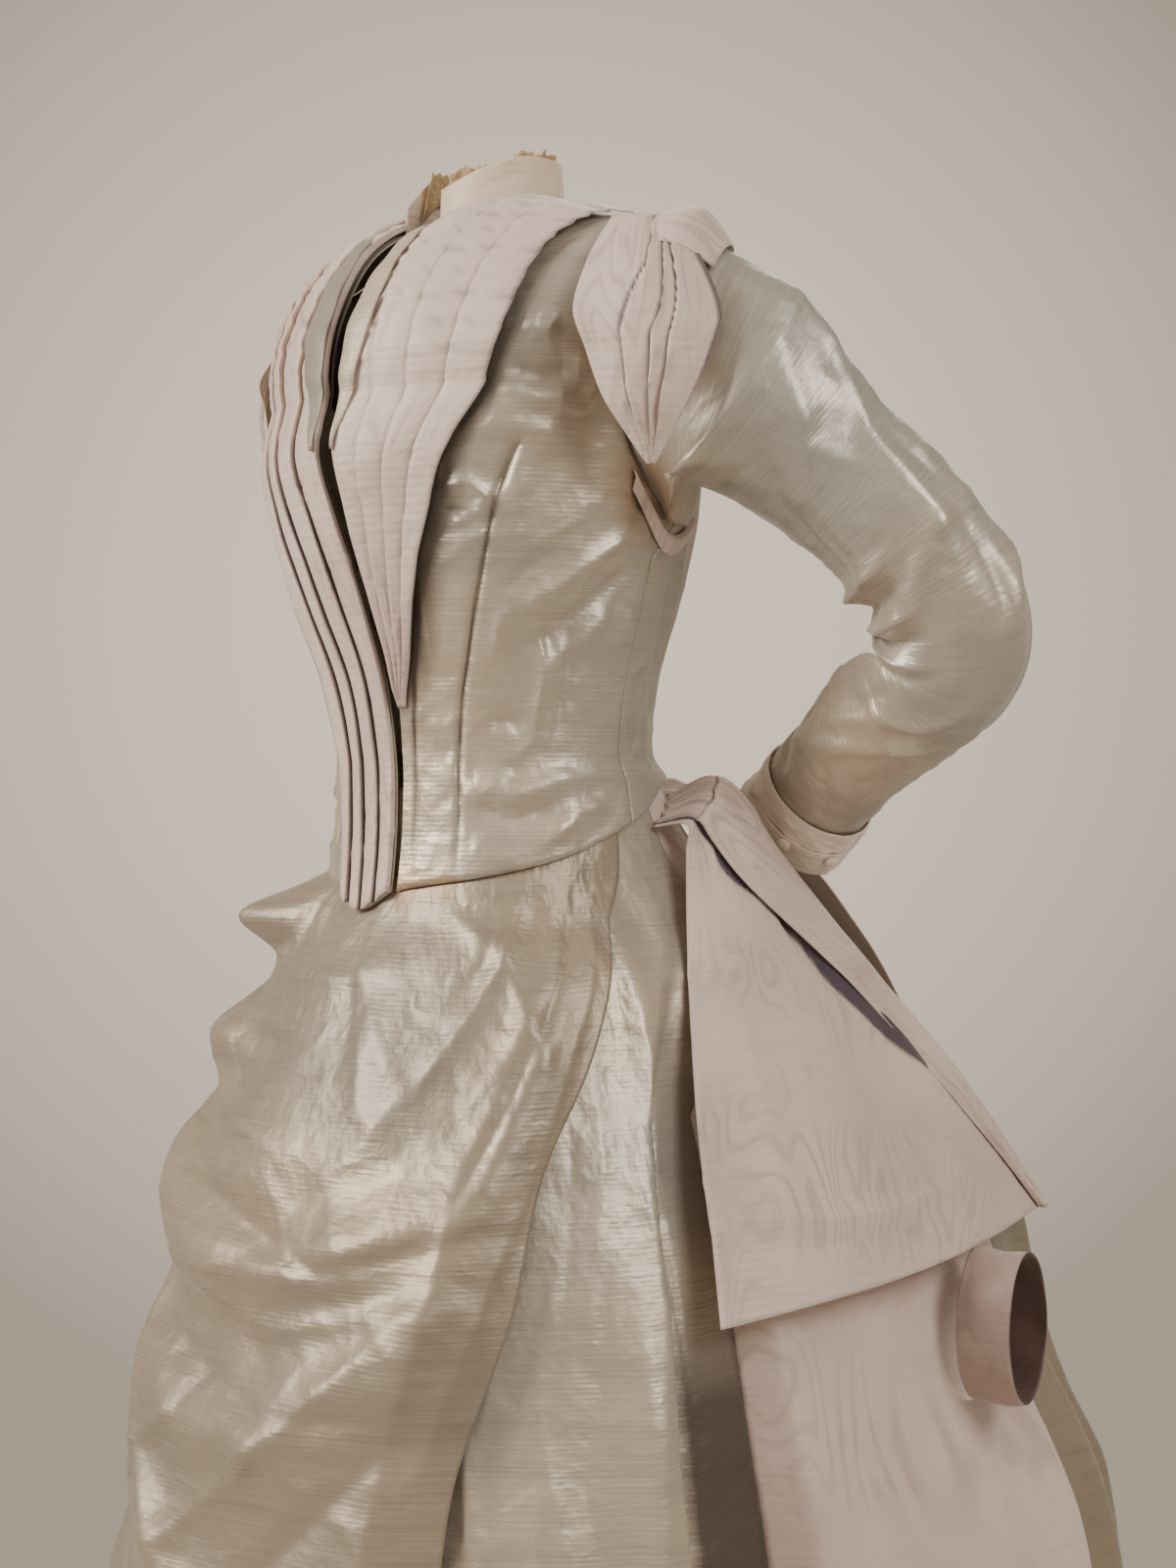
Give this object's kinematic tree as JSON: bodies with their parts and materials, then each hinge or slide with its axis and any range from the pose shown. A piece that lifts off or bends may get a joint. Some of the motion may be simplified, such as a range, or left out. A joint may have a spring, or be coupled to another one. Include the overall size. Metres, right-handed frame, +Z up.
{
  "type": "bustle dress",
  "caption": "Worn-shape silk bustle dress: open revers bodice with collar, akimbo sleeves with turned-back cuffs, swagged apron overskirt, bustled skirt and a looped sash.",
  "frame": {"origin": "centre of the waist, where the wearer holds the dress up", "axes": "+Z up, the front faces -Y, the wearer's left is +X"},
  "size_m": [0.6692, 0.8442, 1.4579],
  "materials": {
    "silver": "shot taffeta",
    "lilac": "moire faille",
    "beige_lilac": "faille",
    "olive": "silk facing",
    "ecru": "cotton lace",
    "button": "covered in faille"
  },
  "bodies": {
    "root": {"bodice_front_left": "silver", "bodice_front_right": "silver", "bodice_side_left": "silver", "bodice_side_right": "silver", "bodice_back_left": "silver", "bodice_back_right": "silver", "sleeve_left": "silver", "sleeve_right": "silver", "skirt_front": "silver", "skirt_side_left": "silver", "skirt_back": "silver", "apron": "silver", "revers_left": "lilac", "revers_right": "lilac", "epaulette_left": "lilac", "epaulette_right": "lilac", "shoulder_cap_left": "lilac", "shoulder_cap_right": "lilac", "armhole_band_left": "lilac", "armhole_band_right": "lilac", "skirt_lilac_left": "lilac", "skirt_lilac_right": "lilac", "sash_panel_left": "lilac", "sash_panel_right": "lilac", "sash_band_left": "lilac", "sash_band_right": "lilac", "sash_loop_left": "lilac", "sash_loop_right": "lilac", "sash_puff": "lilac", "collar": "beige_lilac", "cuff_left": "beige_lilac", "cuff_right": "beige_lilac", "cuff_tab_left": "beige_lilac", "cuff_tab_right": "beige_lilac", "lapel_facing_left": "olive", "lapel_facing_right": "olive", "neck_lace": "ecru", "button_left_1": "button", "button_left_2": "button", "button_right_1": "button", "button_right_2": "button"}
  },
  "joints": []
}
